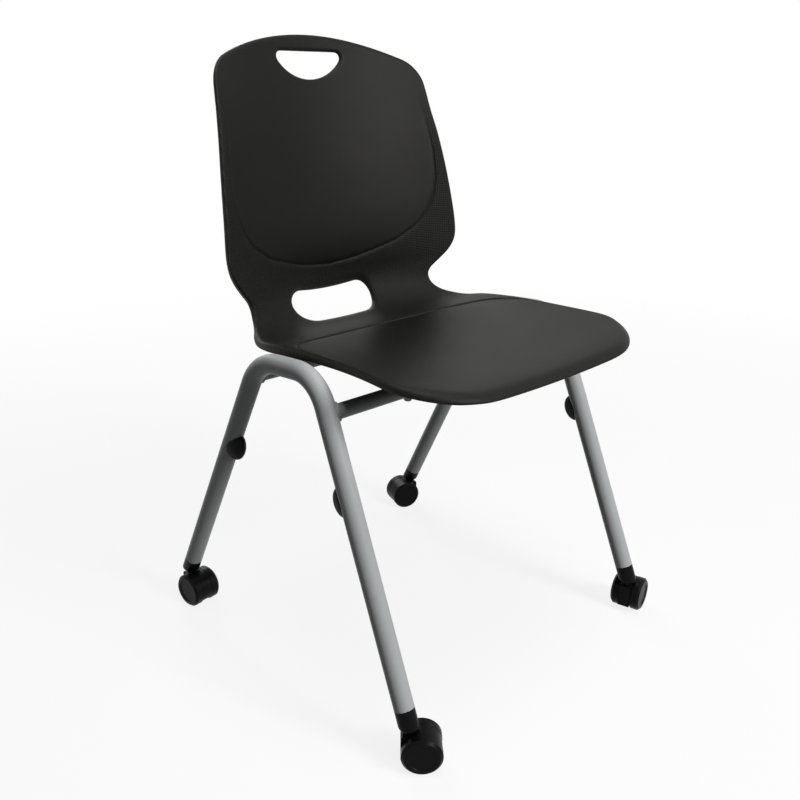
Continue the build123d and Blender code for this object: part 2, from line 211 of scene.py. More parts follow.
class Graph(Nodes):
    """Node tree of one material, ending in a Principled shader."""

    def __init__(self, name: str) -> None:
        """Start a material with its shader and output.

        Args:
            name: the material's name.
        """
        self.material = bpy.data.materials.new(name)
        self.material.use_nodes = True
        super().__init__(self.material.node_tree)
        self.shader = self.node("ShaderNodeBsdfPrincipled")
        surface = Sock(self, self.shader.outputs[0])
        self.output = self.node("ShaderNodeOutputMaterial", {}, {"Surface": surface})

    def place(self) -> Sock:
        """Place on the object, in metres."""
        return Sock(self, self.node("ShaderNodeTexCoord").outputs["Object"])

    def noise(self, scale: float, detail: float) -> Sock:
        """Soft noise over a surface.

        Args:
            scale: cells per metre.
            detail: octaves.

        Returns:
            A value from 0 to 1.
        """
        sockets = {"Vector": self.place(), "Scale": scale, "Detail": detail}
        return Sock(self, self.node("ShaderNodeTexNoise", {}, sockets).outputs[0])

    def mix(self, share: Sock, low: tuple[float, ...], high: tuple[float, ...]) -> Sock:
        """Blend two colours by a share.

        Args:
            share: how much of the high colour, 0 to 1.
            low: colour at 0.
            high: colour at 1.

        Returns:
            The blended colour.
        """
        made = self.node(
            "ShaderNodeMix",
            {"data_type": "RGBA"},
            {0: share, 6: (*low, 1.0), 7: (*high, 1.0)},
        )
        return Sock(self, made.outputs[2])

    def bump(self, height: Sock, depth: float, strength: float = 1.0) -> Sock:
        """Normal of a surface raised by a height of 0 to 1 over a depth in metres."""
        made = self.node("ShaderNodeBump", {}, {"Strength": strength, "Distance": depth, "Height": height})
        return Sock(self, made.outputs[0])

    def finish(self, **sockets: object) -> bpy.types.Material:
        """Feed the shader by its socket names, underscores for spaces, and give the material."""
        self.feed(self.shader, {key.replace("_", " "): value for key, value in sockets.items()})
        return self.material


@dataclass(frozen=True)
class ShellPlastic:
    """Near-black moulded plastic: smooth panels, fine diamond grain around them."""

    dark: tuple[float, float, float] = (0.0016, 0.0017, 0.0013)
    light: tuple[float, float, float] = (0.0068, 0.0070, 0.0056)
    grain_pitch: float = 0.0054
    grain_depth: float = 0.00050
    grain_shade: float = 0.75
    grain_rough: float = 0.08
    pebble_scale: float = 1500.0
    pebble_height: float = 0.25
    panel_pebble: float = 0.2
    cloud_scale: float = 9.0
    cloud_shade: float = 0.35
    cloud_rough: float = 0.10
    rough: float = 0.46
    sheen: float = 0.135
    sheen_tint: tuple[float, float, float, float] = (1.0, 0.985, 0.93, 1.0)

    def material(self) -> bpy.types.Material:
        """Make the finish.

        Returns:
            The material.
        """
        graph = Graph("shell_plastic_finish")
        flat = Sock(graph, graph.node("ShaderNodeUVMap", {"uv_map": "surface"}).outputs[0])
        parts = graph.node("ShaderNodeSeparateXYZ", {}, {0: flat})
        across, along = Sock(graph, parts.outputs[0]), Sock(graph, parts.outputs[1])
        panel = graph.node("ShaderNodeAttribute", {"attribute_name": "panel"})
        inside = Sock(graph, panel.outputs["Fac"])
        turns = 2 * math.pi / self.grain_pitch
        rising = ((across + along) * turns).sine()
        falling = ((across - along) * turns).sine()
        diamond = (rising * falling) * 0.5 + 0.5
        pebble = graph.noise(self.pebble_scale, 1.0)
        cloud = graph.noise(self.cloud_scale, 3.0)
        height = diamond * (1 - inside) + pebble * (self.pebble_height + inside * self.panel_pebble)
        shade = (cloud * self.cloud_shade + (1 - inside) * diamond * self.grain_shade).clipped()
        return graph.finish(
            Base_Color=graph.mix(shade, self.dark, self.light),
            Roughness=self.rough + (1 - inside) * self.grain_rough + (cloud - 0.5) * self.cloud_rough,
            Normal=graph.bump(height, self.grain_depth),
            Specular_IOR_Level=self.sheen,
            Specular_Tint=self.sheen_tint,
        )


@dataclass(frozen=True)
class PowderCoat:
    """Silver-grey coat on steel tube, with a fine orange-peel surface."""

    dark: tuple[float, float, float] = (0.352, 0.368, 0.368)
    light: tuple[float, float, float] = (0.422, 0.440, 0.440)
    fleck_scale: float = 2600.0
    fleck_shade: float = 0.6
    fleck_rough: float = 0.08
    cloud_scale: float = 14.0
    cloud_shade: float = 0.4
    cloud_rough: float = 0.12
    peel_scale: float = 420.0
    peel_depth: float = 0.00012
    peel_strength: float = 0.6
    rough: float = 0.42
    sheen: float = 0.14

    def material(self) -> bpy.types.Material:
        """Make the finish.

        Returns:
            The material.
        """
        graph = Graph("frame_coat_finish")
        fleck = graph.noise(self.fleck_scale, 1.0)
        peel = graph.noise(self.peel_scale, 2.0)
        cloud = graph.noise(self.cloud_scale, 2.0)
        shade = (fleck * self.fleck_shade + cloud * self.cloud_shade).clipped()
        return graph.finish(
            Base_Color=graph.mix(shade, self.dark, self.light),
            Roughness=self.rough + (cloud - 0.5) * self.cloud_rough + (fleck - 0.5) * self.fleck_rough,
            Normal=graph.bump(peel, self.peel_depth, self.peel_strength),
            Specular_IOR_Level=self.sheen,
        )


@dataclass(frozen=True)
class DarkMoulding:
    """Black moulded plastic or rubber with a fine spark-eroded skin."""

    name: str
    dark: tuple[float, float, float]
    light: tuple[float, float, float]
    rough: float
    grain_scale: float
    grain_depth: float
    grain_strength: float = 0.7
    grain_shade: float = 0.3
    cloud_scale: float = 60.0
    cloud_shade: float = 0.7
    cloud_rough: float = 0.16
    sheen: float = 0.07

    def material(self) -> bpy.types.Material:
        """Make the finish.

        Returns:
            The material.
        """
        graph = Graph(self.name)
        grain = graph.noise(self.grain_scale, 2.0)
        cloud = graph.noise(self.cloud_scale, 3.0)
        shade = (cloud * self.cloud_shade + grain * self.grain_shade).clipped()
        return graph.finish(
            Base_Color=graph.mix(shade, self.dark, self.light),
            Roughness=self.rough + (cloud - 0.5) * self.cloud_rough,
            Normal=graph.bump(grain, self.grain_depth, self.grain_strength),
            Specular_IOR_Level=self.sheen,
        )


@dataclass(frozen=True)
class ZincPlate:
    """Black-passivated zinc on turned steel."""

    dark: tuple[float, float, float] = (0.050, 0.050, 0.052)
    light: tuple[float, float, float] = (0.090, 0.090, 0.093)
    cloud_scale: float = 220.0
    cloud_rough: float = 0.14
    turning_scale: float = 1800.0
    turning_depth: float = 0.00005
    turning_strength: float = 0.5
    rough: float = 0.28
    metal: float = 0.95

    def material(self) -> bpy.types.Material:
        """Make the finish.

        Returns:
            The material.
        """
        graph = Graph("zinc_finish")
        cloud = graph.noise(self.cloud_scale, 3.0)
        turning = graph.noise(self.turning_scale, 1.0)
        return graph.finish(
            Base_Color=graph.mix(cloud, self.dark, self.light),
            Roughness=self.rough + cloud * self.cloud_rough,
            Normal=graph.bump(turning, self.turning_depth, self.turning_strength),
            Metallic=self.metal,
        )


def step_up(low: float, high: float, values: np.ndarray) -> np.ndarray:
    """Smooth rise from 0 to 1 between two values."""
    share = np.clip((values - low) / (high - low), 0.0, 1.0)
    return share * share * (3.0 - 2.0 * share)


def rounded(corners: list[tuple[float, float, float]], spacing: float) -> np.ndarray:
    """Closed outline with rounded corners.

    Args:
        corners: x, y and radius of each corner, in order.
        spacing: distance between points on the arcs and straights.

    Returns:
        Points of the outline, one row each.
    """
    points: list[np.ndarray] = []
    count = len(corners)
    for index, (x, y, radius) in enumerate(corners):
        here = np.array((x, y))
        before = np.array(corners[index - 1][:2]) - here
        after = np.array(corners[(index + 1) % count][:2]) - here
        before, after = before / np.linalg.norm(before), after / np.linalg.norm(after)
        if radius <= 0.0:
            points.append(here)
            continue
        half = math.acos(float(np.clip(before @ after, -1.0, 1.0))) / 2
        middle = (before + after) / np.linalg.norm(before + after)
        centre = here + middle * radius / math.sin(half)
        start = here + before * radius / math.tan(half) - centre
        end = here + after * radius / math.tan(half) - centre
        sweep = math.pi - 2 * half
        turn = math.copysign(sweep, start[0] * end[1] - start[1] * end[0])
        steps = max(LEAST_ARC_STEPS, math.ceil(radius * sweep / spacing))
        quarter = np.array((-start[1], start[0]))
        for angle in np.linspace(0.0, turn, steps + 1):
            points.append(centre + start * math.cos(angle) + quarter * math.sin(angle))
    return resampled(np.array(points), spacing)


def resampled(points: np.ndarray, spacing: float) -> np.ndarray:
    """Points at even distances along a closed loop.

    Args:
        points: points of the loop, one row each.
        spacing: distance between the new points, about.

    Returns:
        The new points, one row each.
    """
    loop = np.vstack([points, points[:1]])
    steps = np.concatenate([[0.0], np.cumsum(np.linalg.norm(np.diff(loop, axis=0), axis=1))])
    count = max(LEAST_LINE_POINTS, round(steps[-1] / spacing))
    places = np.linspace(0.0, steps[-1], count, endpoint=False)
    return np.stack([np.interp(places, steps, loop[:, k]) for k in range(2)], axis=1)


def shifted(loop: np.ndarray, distance: np.ndarray | float) -> np.ndarray:
    """Closed counter-clockwise loop drawn inwards by a distance, one for all points or one each.

    Args:
        loop: points of the loop, one row each.
        distance: how far inwards; outwards where it is negative.

    Returns:
        The drawn loop, point for point.
    """
    along = np.roll(loop, -1, axis=0) - np.roll(loop, 1, axis=0)
    along /= np.linalg.norm(along, axis=1, keepdims=True)
    return loop + np.reshape(distance, (-1, 1)) * np.stack([-along[:, 1], along[:, 0]], axis=1)


def counter_clockwise(loop: np.ndarray) -> np.ndarray:
    """The loop, turned round if it runs clockwise.

    Args:
        loop: points of the loop, one row each.

    Returns:
        The loop, counter-clockwise.
    """
    ahead = np.roll(loop, -1, axis=0)
    area = float(np.sum(loop[:, 0] * ahead[:, 1] - loop[:, 1] * ahead[:, 0]))
    return loop if area > 0 else loop[::-1].copy()


def smoothed(loop: np.ndarray, passes: int) -> np.ndarray:
    """Closed loop with its kinks averaged out.

    Args:
        loop: points of the loop, one row each.
        passes: how often each point is averaged with its neighbours.

    Returns:
        The smooth loop, point for point.
    """
    for _ in range(passes):
        loop = 0.5 * loop + 0.25 * (np.roll(loop, 1, axis=0) + np.roll(loop, -1, axis=0))
    return loop


def mirrored(half: np.ndarray) -> np.ndarray:
    """Closed loop from its +X half, which starts and ends on the mid plane."""
    return np.vstack([half, half[-2:0:-1] * (-1.0, 1.0)])


def heading(angle: float) -> np.ndarray:
    """Unit direction at an angle."""
    return np.array((math.cos(angle), math.sin(angle)))


def inside_of(points: np.ndarray, loop: np.ndarray) -> np.ndarray:
    """Which points lie inside a closed loop.

    Args:
        points: points to test, one row each.
        loop: points of the loop, one row each.

    Returns:
        True for each point inside.
    """
    found = np.zeros(len(points), bool)
    for (x0, y0), (x1, y1) in zip(loop, np.roll(loop, -1, axis=0)):
        if y0 != y1:
            cross = ((y0 <= points[:, 1]) != (y1 <= points[:, 1])) & (
                points[:, 0] < x0 + (points[:, 1] - y0) * (x1 - x0) / (y1 - y0)
            )
            found ^= cross
    return found


def distance_to(points: np.ndarray, loop: np.ndarray) -> np.ndarray:
    """Distance of each point to a closed loop.

    Args:
        points: points to measure, one row each.
        loop: points of the loop, one row each.

    Returns:
        A distance for each point.
    """
    best = np.full(len(points), np.inf)
    for start, end in zip(loop, np.roll(loop, -1, axis=0)):
        along = end - start
        share = np.clip(((points - start) @ along) / max(float(along @ along), LEAST_SQUARE), 0.0, 1.0)
        gap = points - start - share[:, None] * along
        best = np.minimum(best, np.einsum("ij,ij->i", gap, gap))
    return np.sqrt(best)


def mesh_object(name: str, points: np.ndarray, faces: list[tuple[int, ...]]) -> bpy.types.Object:
    """Add a smooth-shaded mesh to the scene.

    Args:
        name: the piece's name.
        points: vertices, one row each.
        faces: vertex numbers of each face.

    Returns:
        The new object.
    """
    mesh = bpy.data.meshes.new(name)
    mesh.from_pydata([tuple(p) for p in points.tolist()], [], faces)
    mesh.validate()
    mesh.shade_smooth()
    made = bpy.data.objects.new(name, mesh)
    bpy.context.scene.collection.objects.link(made)
    return made


class Edge(Enum):
    """Edges of the shell, each with the reach of its upper rounding in metres."""

    OUTER = 0.0056
    HAND = 0.0055
    SLOT = 0.0090


@dataclass
class Panel:
    """Smooth field of the shell that lies a little below the grain around it."""

    outline: np.ndarray
    recess: float
    fade_start: float
    fade_end: float


@dataclass
class Skin:
    """Points and faces of the shell, as they are gathered."""

    points: list[np.ndarray] = field(default_factory=list)
    places: list[np.ndarray] = field(default_factory=list)
    shares: list[np.ndarray] = field(default_factory=list)
    faces: list[tuple[int, ...]] = field(default_factory=list)
    total: int = 0

    def add(self, points: np.ndarray, places: np.ndarray, share: np.ndarray) -> list[int]:
        """Add points.

        Args:
            points: the points in space, one row each.
            places: their flat places.
            share: how far each belongs to a smooth panel, 0 to 1.

        Returns:
            The numbers of the points.
        """
        self.points.append(points)
        self.places.append(places)
        self.shares.append(share)
        first = self.total
        self.total += len(points)
        return list(range(first, self.total))

    def band(self, near: list[int], far: list[int], sign: float) -> None:
        """Add the quads between two rings, turned round where the sign is negative.

        Args:
            near: numbers of one ring's points.
            far: numbers of the next ring, as many.
            sign: which way the quads face.
        """
        size = len(near)
        quads = [(near[k], far[k], far[(k + 1) % size], near[(k + 1) % size]) for k in range(size)]
        self.faces += quads if sign > 0 else [quad[::-1] for quad in quads]

    def build(self, name: str) -> bpy.types.Object:
        """Make the mesh, with its flat places as UVs and its panels as an attribute.

        Args:
            name: the piece's name.

        Returns:
            The piece.
        """
        made = mesh_object(name, np.vstack(self.points), self.faces)
        mesh, places = made.data, np.vstack(self.places)
        corners = np.empty(len(mesh.loops), np.int32)
        mesh.loops.foreach_get("vertex_index", corners)
        layer = mesh.uv_layers.new(name="surface")
        layer.data.foreach_set("uv", places[corners].astype(np.float32).ravel())
        attribute = mesh.attributes.new("panel", "FLOAT", "POINT")
        attribute.data.foreach_set("value", np.concatenate(self.shares).astype(np.float32))
        return made


@dataclass
class SeatShell:
    """One-piece seat and back, moulded with a rounded rim and two lipped openings.

    Each station, from the front lip up to the crown, holds the half width, Y and Z of the edge, Y and Z of
    the middle, and the depth of the rim. A flat place is a distance from the mid plane and a distance along
    the shell.
    """

    stations: tuple[tuple[float, ...], ...] = (
        (0.2140, -0.2545, 0.4465, -0.2500, 0.4345, 0.0065),
        (0.2140, -0.2505, 0.4495, -0.2460, 0.4378, 0.0085),
        (0.2140, -0.2415, 0.4520, -0.2375, 0.4403, 0.0105),
        (0.2140, -0.2250, 0.4543, -0.2220, 0.4420, 0.0110),
        (0.2130, -0.1980, 0.4562, -0.1960, 0.4428, 0.0105),
        (0.2095, -0.1500, 0.4578, -0.1500, 0.4426, 0.0090),
        (0.2060, -0.0950, 0.4580, -0.0950, 0.4400, 0.0098),
        (0.2054, -0.0400, 0.4570, -0.0400, 0.4360, 0.0115),
        (0.2056, 0.0100, 0.4538, 0.0120, 0.4315, 0.0128),
        (0.2042, 0.0480, 0.4497, 0.0550, 0.4285, 0.0130),
        (0.1970, 0.0760, 0.4450, 0.0950, 0.4265, 0.0125),
        (0.1870, 0.0960, 0.4460, 0.1250, 0.4270, 0.0110),
        (0.1760, 0.1130, 0.4505, 0.1460, 0.4315, 0.0090),
        (0.1690, 0.1260, 0.4595, 0.1630, 0.4400, 0.0090),
        (0.1675, 0.1320, 0.4710, 0.1750, 0.4520, 0.0090),
        (0.1720, 0.1315, 0.4810, 0.1810, 0.4660, 0.0090),
        (0.1840, 0.1255, 0.4930, 0.1810, 0.4830, 0.0090),
        (0.1980, 0.1180, 0.5085, 0.1770, 0.5020, 0.0090),
        (0.2070, 0.1145, 0.5250, 0.1745, 0.5220, 0.0090),
        (0.2095, 0.1155, 0.5450, 0.1740, 0.5450, 0.0090),
        (0.2065, 0.1205, 0.5820, 0.1765, 0.5801, 0.0088),
        (0.2005, 0.1310, 0.6361, 0.1835, 0.6320, 0.0082),
        (0.1935, 0.1425, 0.6840, 0.1920, 0.6780, 0.0075),
        (0.1880, 0.1525, 0.7161, 0.1980, 0.7079, 0.0070),
        (0.1840, 0.1610, 0.7449, 0.2035, 0.7370, 0.0065),
        (0.1810, 0.1690, 0.7721, 0.2090, 0.7661, 0.0062),
        (0.1780, 0.1770, 0.8001, 0.2135, 0.7961, 0.0060),
        (0.1760, 0.1830, 0.8279, 0.2170, 0.8260, 0.0060),
    )
    thickness: float = 0.0045
    # Distances along the shell: start of the back, end of the seat, and the bend
    back_from: float = 0.44
    seat_to: float = 0.36
    bend: tuple[float, float] = (0.34, 0.50)
    # Outline of the crown, in X and Z
    crown_height: float = 0.817
    crown_radius: float = 0.431
    crown_corner: float = 0.046
    crown_side_low: tuple[float, float] = (0.1855, 0.735)
    crown_side_high: tuple[float, float] = (0.1755, 0.805)
    crown_side_gap: float = 0.004
    crown_points: int = 60
    corner_points: int = 20
    # Outline of the front, in X and Y, eased over a distance along the shell
    front_edge: float = -0.252
    front_corner: float = 0.095
    front_half_width: float = 0.2145
    front_corner_gap: float = 0.0006
    front_points: int = 120
    corner_ease: tuple[float, float] = (0.11, 0.20)
    corner_passes: int = 60
    # Hand hole, in X and Z
    hand_top: float = 0.7955
    hand_bottom: float = 0.759
    hand_half_width: float = 0.0565
    hand_side: float = 0.7855
    hand_corner: float = 0.0065
    hand_side_corner: float = 0.0052
    hand_bow_half_width: float = 0.0452
    hand_bow_points: int = 17
    # Lumbar slot: centre in Y and Z, tilt in degrees, then upper and lower sizes
    slot_centre: tuple[float, float] = (0.165, 0.447)
    slot_tilt: float = 45.0
    slot_reach: tuple[float, float] = (0.028, 0.025)
    slot_half_width: tuple[float, float] = (0.082, 0.067)
    slot_corner: tuple[float, float] = (0.022, 0.030)
    opening_spacing: float = 0.0021
    opening_passes: int = 8
    # Smooth fields: the back in X and Z, the seat in X and Y
    back_panel_side: tuple[tuple[float, float], ...] = (
        (0.0496, 0.507), (0.0815, 0.515), (0.1186, 0.527), (0.1510, 0.547), (0.1680, 0.567), (0.1790, 0.594),
        (0.1835, 0.622), (0.1825, 0.660), (0.1770, 0.700), (0.1710, 0.740), (0.1660, 0.780),
    )
    back_panel_bottom: float = 0.5015
    back_panel_fade: tuple[float, float] = (0.60, 0.73)
    seat_panel_side: tuple[tuple[float, float], ...] = (
        (0.0000, 0.0830), (0.0500, 0.0795), (0.1000, 0.0690), (0.1250, 0.0610), (0.1480, 0.0480),
        (0.1700, 0.0330), (0.1870, 0.0110), (0.1970, -0.0200), (0.2040, -0.0600),
    )
    seat_panel_fade: tuple[float, float] = (0.05, -0.12)
    panel_overrun: float = 0.025
    panel_spacing: float = 0.002
    panel_passes: int = 14
    panel_blend: float = 0.0006
    panel_recess: float = 0.0012
    groove_depth: float = 0.0017
    groove_reach: float = 0.0012
    groove_lines: tuple[float, ...] = (-0.0024, -0.0012, 0.0, 0.0012, 0.0024)
    groove_gap: float = 0.0012
    grain_end: tuple[float, float] = (0.66, 0.77)
    # Rims, with the front lip fading out over a distance along the shell
    lip_step: float = 0.0007
    front_drop: tuple[float, float] = (0.030, 0.090)
    front_softness: float = 0.0150
    rounding_fullness: tuple[float, float] = (0.75, 0.95)
    rounding_limit: float = 0.82
    rim_rounds: int = 9
    rim_foot: tuple[tuple[float, float], ...] = (
        (0.0, -0.0009), (0.00027, -0.00027), (0.0009, 0.0), (0.0022, 0.0), (0.0032, 0.0), (0.0038, -0.0003),
        (0.0040, -0.0007),
    )
    rim_wall: float = 0.0040
    rim_fillet: float = 0.0003
    rim_ease: float = 0.6
    # Screw bosses: each flare is a share of the radius and a depth below the shell
    boss_x: float = 0.095
    boss_radius: float = 0.011
    boss_flares: tuple[tuple[float, float], ...] = (
        (1.5, -0.0015), (1.32, 0.0002), (1.12, 0.0015), (1.0, 0.0040),
    )
    boss_spokes: int = 48
    boss_tubes: tuple[str, ...] = ("front_cross_tube", "rear_cross_tube")
    saddle_gap: float = 0.0002
    saddle_limit: float = 0.4
    # Fineness of the mesh
    row_spacing: float = 0.0005
    search_points: int = 800
    edge_spacing: float = 0.0030
    mesh_spacing: float = 0.0040
    mesh_gap: float = 0.0022
    merge_distance: float = 1e-9
    steps: np.ndarray = field(init=False)
    rows: np.ndarray = field(init=False)

    def __post_init__(self) -> None:
        """Draw the smooth run of stations at an even spacing along the shell."""
        given = np.array(self.stations)
        reach = np.linalg.norm(np.diff(given[:, 1:3], axis=0), axis=1)
        reach = (reach + np.linalg.norm(np.diff(given[:, 3:5], axis=0), axis=1)) / 2
        knots = np.concatenate([[0.0], np.cumsum(reach)])
        slopes = np.empty_like(given)
        slopes[1:-1] = (given[2:] - given[:-2]) / (knots[2:] - knots[:-2])[:, None]
        slopes[0] = (given[1] - given[0]) / reach[0]
        slopes[-1] = (given[-1] - given[-2]) / reach[-1]
        self.steps = np.arange(0.0, knots[-1], self.row_spacing)
        at = np.clip(np.searchsorted(knots, self.steps, side="right") - 1, 0, len(reach) - 1)
        share = ((self.steps - knots[at]) / reach[at])[:, None]
        span = reach[at][:, None]
        ahead = share * share * (3 - 2 * share)
        self.rows = (
            given[at] * (1 - ahead)
            + given[at + 1] * ahead
            + slopes[at] * span * share * (1 - share) ** 2
            + slopes[at + 1] * span * share * share * (share - 1)
        )

    def row(self, step: np.ndarray) -> np.ndarray:
        """Stations at distances along the shell, one row each."""
        return np.stack([np.interp(step, self.steps, column) for column in self.rows.T], axis=1)

    def half_width(self, step: float) -> float:
        """Half width of the shell at a distance along it."""
        return float(self.row(np.array([step]))[0, 0])

    def point(
        self, flat: np.ndarray, depth: np.ndarray | float = 0.0, sink: np.ndarray | None = None
    ) -> np.ndarray:
        """Points of the shell in space.

        Args:
            flat: distance from the mid plane and distance along the shell, one row each.
            depth: distance below the upper surface.
            sink: Y and Z of the direction in which the depth is measured, one row each; away from the
                hollow side where none is given.

        Returns:
            Points, one row each.
        """
        half, edge_y, edge_z, mid_y, mid_z, _ = self.row(flat[:, 1]).T
        rise = np.stack([edge_y - mid_y, edge_z - mid_z], axis=1)
        height = np.linalg.norm(rise, axis=1)
        rise /= height[:, None]
        radius = (half**2 + height**2) / (2 * height)
        lift = (radius - np.sqrt(radius**2 - np.minimum(flat[:, 0] ** 2, radius**2)))[:, None]
        under = (-rise if sink is None else sink) * np.reshape(depth, (-1, 1))
        return np.column_stack([flat[:, 0], np.stack([mid_y, mid_z], axis=1) + rise * lift + under])

    def step_where(self, x: float, measure: np.ndarray, target: float, low: float, high: float) -> float:
        """Distance along the shell at which a point meets a target.

        Args:
            x: distance from the mid plane.
            measure: direction in Y and Z along which the target is measured.
            target: the measure to meet.
            low: start of the stretch that is searched.
            high: end of that stretch.

        Returns:
            The distance along the shell.
        """
        tries = np.linspace(low, high, self.search_points)
        value = self.point(np.stack([np.full_like(tries, x), tries], axis=1))[:, 1:] @ measure
        if value[-1] < value[0]:
            value, target = -value, -target
        return float(np.interp(target, value, tries))

    def at_height(self, x: float, z: float) -> tuple[float, float]:
        """Flat place of a point on the back at a height."""
        return x, self.step_where(x, np.array((0.0, 1.0)), z, self.back_from, float(self.steps[-1]))

    def at_depth(self, x: float, y: float) -> tuple[float, float]:
        """Flat place of a point on the seat at a Y."""
        return x, self.step_where(x, np.array((1.0, 0.0)), y, 0.0, self.seat_to)

    def front_places(self) -> list[tuple[float, float]]:
        """Flat places along the +X half of the front edge, from the mid plane to the side.

        Returns:
            Flat places in order.
        """
        places: list[tuple[float, float]] = []
        corner_x = self.front_half_width - self.front_corner
        for x in np.linspace(0.0, self.front_half_width - self.front_corner_gap, self.front_points):
            past = max(x - corner_x, 0.0)
            y = self.front_edge + self.front_corner - math.sqrt(self.front_corner**2 - past**2)
            place = self.at_depth(x, y)
            if x > self.half_width(place[1]):
                break
            places.append(place)
        return places

    def crown_places(self) -> list[tuple[float, float]]:
        """Flat places up the +X side of the crown, round its corner and in to the mid plane.

        Returns:
            Flat places in order.
        """
        low, high = np.array(self.crown_side_low), np.array(self.crown_side_high)
        lean = (high - low) / np.linalg.norm(high - low)
        inward = np.array((-lean[1], lean[0]))
        base = low + inward * self.crown_corner
        middle = np.array((0.0, self.crown_height - self.crown_radius))
        reach = self.crown_radius - self.crown_corner
        offset = base - middle
        run = -(offset @ lean) + math.sqrt((offset @ lean) ** 2 - offset @ offset + reach**2)
        centre = base + lean * run
        first = math.atan2(-inward[1], -inward[0])
        last = math.atan2(*(centre - middle)[::-1])
        side = np.linspace(0.0, run, self.corner_points)
        corner = np.linspace(first, last, self.corner_points)[1:]
        top = np.linspace(last, math.pi / 2, self.crown_points)[1:]
        drawn = [low + lean * length for length in side]
        drawn += [centre + self.crown_corner * heading(angle) for angle in corner]
        drawn += [middle + self.crown_radius * heading(angle) for angle in top]
        return [self.at_height(*place) for place in drawn]

    def outer_loop(self) -> np.ndarray:
        """Flat outline of the whole shell.

        Returns:
            Flat places, counter-clockwise, one row each.
        """
        front, crown = self.front_places(), self.crown_places()
        steps = np.arange(front[-1][1], crown[0][1] - self.crown_side_gap, self.edge_spacing)
        side = [(self.half_width(step), float(step)) for step in steps]
        half = np.array([*front, *side, *crown])
        loop = counter_clockwise(resampled(mirrored(half), self.edge_spacing))
        share = 1 - step_up(*self.corner_ease, loop[:, 1])[:, None]
        return loop * (1 - share) + smoothed(loop, self.corner_passes) * share

    def hand_loop(self) -> np.ndarray:
        """Flat outline of the hand hole.

        Returns:
            Flat places, counter-clockwise, one row each.
        """
        sag = self.hand_side - self.hand_bottom
        radius = (self.hand_half_width**2 + sag**2) / (2 * sag)
        corners = [
            (self.hand_half_width, self.hand_top, self.hand_corner),
            (-self.hand_half_width, self.hand_top, self.hand_corner),
            (-self.hand_half_width, self.hand_side, self.hand_side_corner),
        ]
        for x in np.linspace(-self.hand_bow_half_width, self.hand_bow_half_width, self.hand_bow_points):
            corners.append((float(x), self.hand_bottom + radius - math.sqrt(radius**2 - x**2), 0.0))
        corners.append((self.hand_half_width, self.hand_side, self.hand_side_corner))
        drawn = smoothed(rounded(corners, self.opening_spacing), self.opening_passes)
        return counter_clockwise(np.array([self.at_height(x, z) for x, z in drawn]))

    def slot_loop(self) -> np.ndarray:
        """Flat outline of the lumbar slot.

        Returns:
            Flat places, counter-clockwise, one row each.
        """
        tilt = math.radians(self.slot_tilt)
        down = np.array((-math.cos(tilt), -math.sin(tilt)))
        base = float(np.array(self.slot_centre) @ down)
        (upper, lower), (top, foot) = self.slot_half_width, self.slot_reach
        above, below = self.slot_corner
        corners = [(-upper, -top, above), (upper, -top, above), (lower, foot, below), (-lower, foot, below)]
        drawn = smoothed(rounded(corners, self.opening_spacing), self.opening_passes)
        places = [(x, self.step_where(x, down, base + r, *self.bend)) for x, r in drawn]
        return counter_clockwise(np.array(places))

    def panels(self) -> list[Panel]:
        """Smooth fields of the back and the seat.

        Returns:
            The field of the back, then that of the seat.
        """
        side = [self.at_height(x, z) for x, z in self.back_panel_side]
        low = self.at_height(0.0, self.back_panel_bottom)
        end = float(self.steps[-1]) + self.panel_overrun
        back = np.array([low, *side, (side[-1][0], end), (0.0, end)])
        seat_side = [self.at_depth(x, y) for x, y in self.seat_panel_side]
        outer = seat_side[-1][0] + self.panel_overrun
        seat = np.array([
            *seat_side, (outer, seat_side[-1][1] - self.panel_overrun),
            (outer, -self.panel_overrun), (0.0, -self.panel_overrun),
        ])
        back_fade = [self.at_height(0.0, z)[1] for z in self.back_panel_fade]
        seat_fade = [self.at_depth(0.0, y)[1] for y in self.seat_panel_fade]
        made = []
        for half, fade in ((back, back_fade), (seat, seat_fade)):
            outline = smoothed(resampled(mirrored(half), self.panel_spacing), self.panel_passes)
            made.append(Panel(counter_clockwise(outline), self.panel_recess, *fade))
        return made

    def rim_rings(self) -> list[tuple[float, float, float, float, float]]:
        """Section of a rounded edge from the upper face round to the under face.

        Returns:
            For each ring its inset as a share of the rounding and as a length, and its depth as a share of
            the rounding's height, as a length and as a share of the rim's depth.
        """
        rings = []
        for turn in np.linspace(0.0, math.pi / 2, self.rim_rounds + 1)[1:]:
            rings.append((1 - math.sin(turn), 0.0, 1 - math.cos(turn), 0.0, 0.0))
        rings += [(0.0, inset, 0.0, depth, 1.0) for inset, depth in self.rim_foot]
        rings.append((0.0, self.rim_wall, 0.0, self.rim_ease * self.thickness, 1 - self.rim_ease))
        rings.append((0.0, self.rim_wall + self.rim_fillet, 0.0, self.thickness + self.rim_fillet, 0.0))
        return rings

    def frontness(self, flat: np.ndarray) -> np.ndarray:
        """Share by which flat places belong to the front lip, 0 to 1."""
        return 1 - step_up(*self.front_drop, flat[:, 1])

    def rounding(self, edge: Edge, flat: np.ndarray) -> np.ndarray:
        """How far the upper rounding of an edge reaches in from it, at flat places along it.

        Args:
            edge: which edge.
            flat: flat places along it.

        Returns:
            A reach for each place.
        """
        if edge is not Edge.OUTER:
            return np.full(len(flat), edge.value)
        return edge.value + (self.front_softness - edge.value) * self.frontness(flat)

